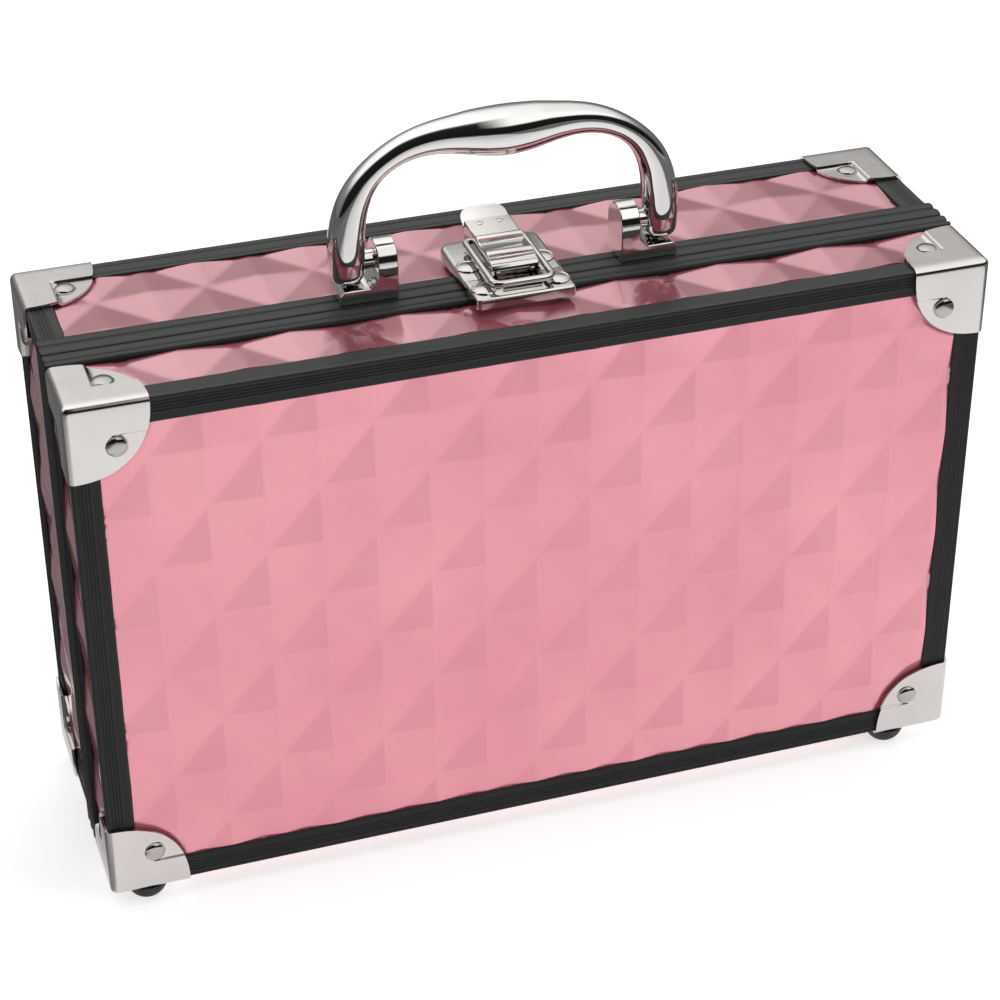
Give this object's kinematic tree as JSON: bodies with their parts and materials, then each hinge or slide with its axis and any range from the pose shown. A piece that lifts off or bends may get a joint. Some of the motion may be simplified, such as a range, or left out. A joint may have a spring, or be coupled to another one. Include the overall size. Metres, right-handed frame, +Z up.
{
  "type": "makeup train case",
  "caption": "Hinged carrying case with diamond-embossed panels in dark metal rails, steel corner caps, an arched metal handle and a draw latch on top.",
  "frame": {"origin": "centre of the footprint, on the plane the feet stand on", "axes": "+X along the length, to the right seen from the lid; -Y out of the lid's large face; +Z up towards the handle"},
  "size_m": [0.325, 0.1, 0.2683],
  "materials": {
    "pink_film": "pearly embossed film on board",
    "dark_rail": "black anodised, finely ribbed",
    "corner_chrome": "bright plated pressed steel",
    "handle_chrome": "polished plated casting",
    "latch_chrome": "bright plated pressed steel",
    "bail_wire": "plated wire",
    "hinge_steel": "plain plated steel",
    "foot_rubber": "matt moulded rubber",
    "lining_cloth": "thin woven lining on board"
  },
  "bodies": {
    "base_shell": {"base_back_panel": "pink_film", "base_top_panel": "pink_film", "base_bottom_panel": "pink_film", "base_left_panel": "pink_film", "base_right_panel": "pink_film", "base_rail_top": "dark_rail", "base_rail_bottom": "dark_rail", "base_rail_left": "dark_rail", "base_rail_right": "dark_rail", "base_side_rail_top_left": "dark_rail", "base_side_rail_top_right": "dark_rail", "base_side_rail_bottom_left": "dark_rail", "base_side_rail_bottom_right": "dark_rail", "base_closure_top": "dark_rail", "base_closure_bottom": "dark_rail", "base_closure_left": "dark_rail", "base_closure_right": "dark_rail", "base_corner_top_left": "corner_chrome", "base_corner_top_right": "corner_chrome", "base_corner_bottom_left": "corner_chrome", "base_corner_bottom_right": "corner_chrome", "base_foot_left": "foot_rubber", "base_foot_right": "foot_rubber", "base_lining": "lining_cloth", "handle_bracket_left": "handle_chrome", "handle_bracket_right": "handle_chrome", "latch_base": "latch_chrome", "latch_pin": "hinge_steel", "base_hinge_left": "hinge_steel", "base_hinge_right": "hinge_steel"},
    "lid_shell": {"lid_front_panel": "pink_film", "lid_top_panel": "pink_film", "lid_bottom_panel": "pink_film", "lid_left_panel": "pink_film", "lid_right_panel": "pink_film", "lid_rail_top": "dark_rail", "lid_rail_bottom": "dark_rail", "lid_rail_left": "dark_rail", "lid_rail_right": "dark_rail", "lid_closure_top": "dark_rail", "lid_closure_bottom": "dark_rail", "lid_closure_left": "dark_rail", "lid_closure_right": "dark_rail", "lid_corner_top_left": "corner_chrome", "lid_corner_top_right": "corner_chrome", "lid_corner_bottom_left": "corner_chrome", "lid_corner_bottom_right": "corner_chrome", "lid_foot_left": "foot_rubber", "lid_foot_right": "foot_rubber", "lid_lining": "lining_cloth", "latch_keeper": "latch_chrome", "lid_hinge_left": "hinge_steel", "lid_hinge_right": "hinge_steel"},
    "carry_handle": {"handle": "handle_chrome"},
    "latch_arm": {"latch_lever": "latch_chrome", "latch_thumb_tab": "latch_chrome"},
    "latch_loop": {"latch_bail": "bail_wire"}
  },
  "joints": [
    {"name": "lid_swing", "type": "hinge", "parent": "base_shell", "child": "lid_shell", "pos_m": [0, -0.012, 0.0056], "axis": [1, 0, 0], "range_deg": [0, 95]},
    {"name": "handle_swing", "type": "hinge", "parent": "base_shell", "child": "carry_handle", "pos_m": [0, -0.0045, 0.2196], "axis": [1, 0, 0], "range_deg": [-94, 94]},
    {"name": "latch_lift", "type": "hinge", "parent": "base_shell", "child": "latch_arm", "pos_m": [0, -0.014, 0.2135], "axis": [1, 0, 0], "range_deg": [0, 100]},
    {"name": "loop_swing", "type": "hinge", "parent": "latch_arm", "child": "latch_loop", "pos_m": [0, 0.0086, 0.2135], "axis": [1, 0, 0], "range_deg": [-100, 0]}
  ],
  "couplings": [
    {"joint": "loop_swing", "follows": "latch_lift", "ratio": -1}
  ]
}
